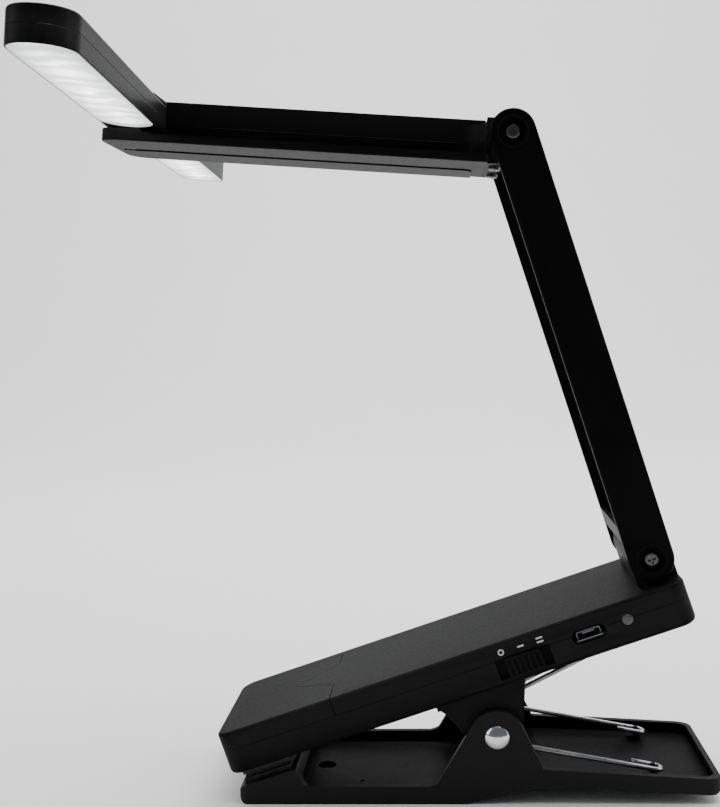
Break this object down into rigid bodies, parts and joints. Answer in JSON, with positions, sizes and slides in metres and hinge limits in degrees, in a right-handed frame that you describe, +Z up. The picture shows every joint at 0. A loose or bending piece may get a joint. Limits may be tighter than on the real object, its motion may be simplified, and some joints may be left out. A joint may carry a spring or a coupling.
{
  "type": "clip-on folding lamp",
  "caption": "Folding lamp on a sprung clip: tilted flat base, open strut, flat arm and two lit heads that swing out sideways from the arm's tip.",
  "frame": {"origin": "middle of the flat part of the lower jaw's underside, which the lamp stands on", "axes": "+X from the clip's mouth to its grip, +Y to the side away from the switch and the socket, +Z up"},
  "size_m": [0.1883, 0.2314, 0.2192],
  "materials": {
    "dark_plastic": "satin, finely grained",
    "gloss_edge": "smooth",
    "pad_rubber": "matt",
    "pin_chrome": "polished",
    "spring_steel": "bright drawn wire",
    "bracket_metal": "matt",
    "screw_steel": "zinc plated",
    "cell_foil": "foil",
    "board_green": "solder mask",
    "socket_steel": "plated",
    "light_pipe": "frosted",
    "mark_white": "printed",
    "washer_nylon": "plain",
    "diffuser_lit": "milky, lit",
    "led_yellow": "lit",
    "board_white": "white solder mask"
  },
  "bodies": {
    "lower_jaw": {"lower_jaw": "dark_plastic", "lower_pad": "pad_rubber", "clip_pin": "pin_chrome", "torsion_spring": "spring_steel"},
    "base": {"base_lower_casing": "dark_plastic", "base_top_cover": "dark_plastic", "base_front_cover": "dark_plastic", "hinge_lug": "dark_plastic", "clip_bracket": "bracket_metal", "upper_pad": "pad_rubber", "casing_screws": "screw_steel", "bracket_screws": "screw_steel", "battery_cell": "cell_foil", "circuit_board": "board_green", "usb_socket": "socket_steel", "charge_light": "light_pipe", "switch_body": "gloss_edge", "switch_marks": "mark_white"},
    "switch_knob": {"switch_knob": "gloss_edge"},
    "strut": {"strut_frame": "dark_plastic", "lower_pivot_axle": "socket_steel", "upper_pivot_axle": "socket_steel", "lower_pivot_washers": "washer_nylon", "upper_pivot_washers": "washer_nylon", "lower_pivot_screws": "screw_steel", "upper_pivot_screws": "screw_steel"},
    "arm": {"arm_lower_shell": "dark_plastic", "arm_upper_shell": "dark_plastic", "tip_cap": "dark_plastic", "head_pins": "socket_steel", "arm_screws": "screw_steel"},
    "near_head": {"near_head_upper_shell": "dark_plastic", "near_head_lower_shell": "dark_plastic", "near_head_diffuser": "diffuser_lit", "near_head_light_board": "board_white", "near_head_leds": "led_yellow"},
    "far_head": {"far_head_upper_shell": "dark_plastic", "far_head_lower_shell": "dark_plastic", "far_head_diffuser": "diffuser_lit", "far_head_light_board": "board_white", "far_head_leds": "led_yellow"}
  },
  "joints": [
    {"name": "clip_open", "type": "hinge", "parent": "lower_jaw", "child": "base", "pos_m": [0.0435, 0, 0.0205], "axis": [0, 1, 0], "range_deg": [0, 20], "stiffness_Nm_per_rad": 2, "springref_deg": -20.05, "deforming": ["torsion_spring"]},
    {"name": "switch_slide", "type": "slide", "parent": "base", "child": "switch_knob", "axis": [0.9492, 0, 0.3148], "range_m": [-0.0027, 0.0027]},
    {"name": "strut_fold", "type": "hinge", "parent": "base", "child": "strut", "pos_m": [0.0909, 0, 0.0736], "axis": [0, 1, 0], "range_deg": [-70, 30]},
    {"name": "arm_fold", "type": "hinge", "parent": "strut", "child": "arm", "pos_m": [0.05127, 0, 0.20202], "axis": [0, -1, 0], "range_deg": [-241, 15]},
    {"name": "near_head_swing", "type": "hinge", "parent": "arm", "child": "near_head", "pos_m": [-0.06307, -0.0094, 0.21232], "axis": [0.0888, 0.0166, 0.9959], "range_deg": [-8.3, 86.6]},
    {"name": "far_head_swing", "type": "hinge", "parent": "arm", "child": "far_head", "pos_m": [-0.06307, 0.0094, 0.21232], "axis": [0.0898, 0, 0.996], "range_deg": [-93.1, 1.9]}
  ]
}
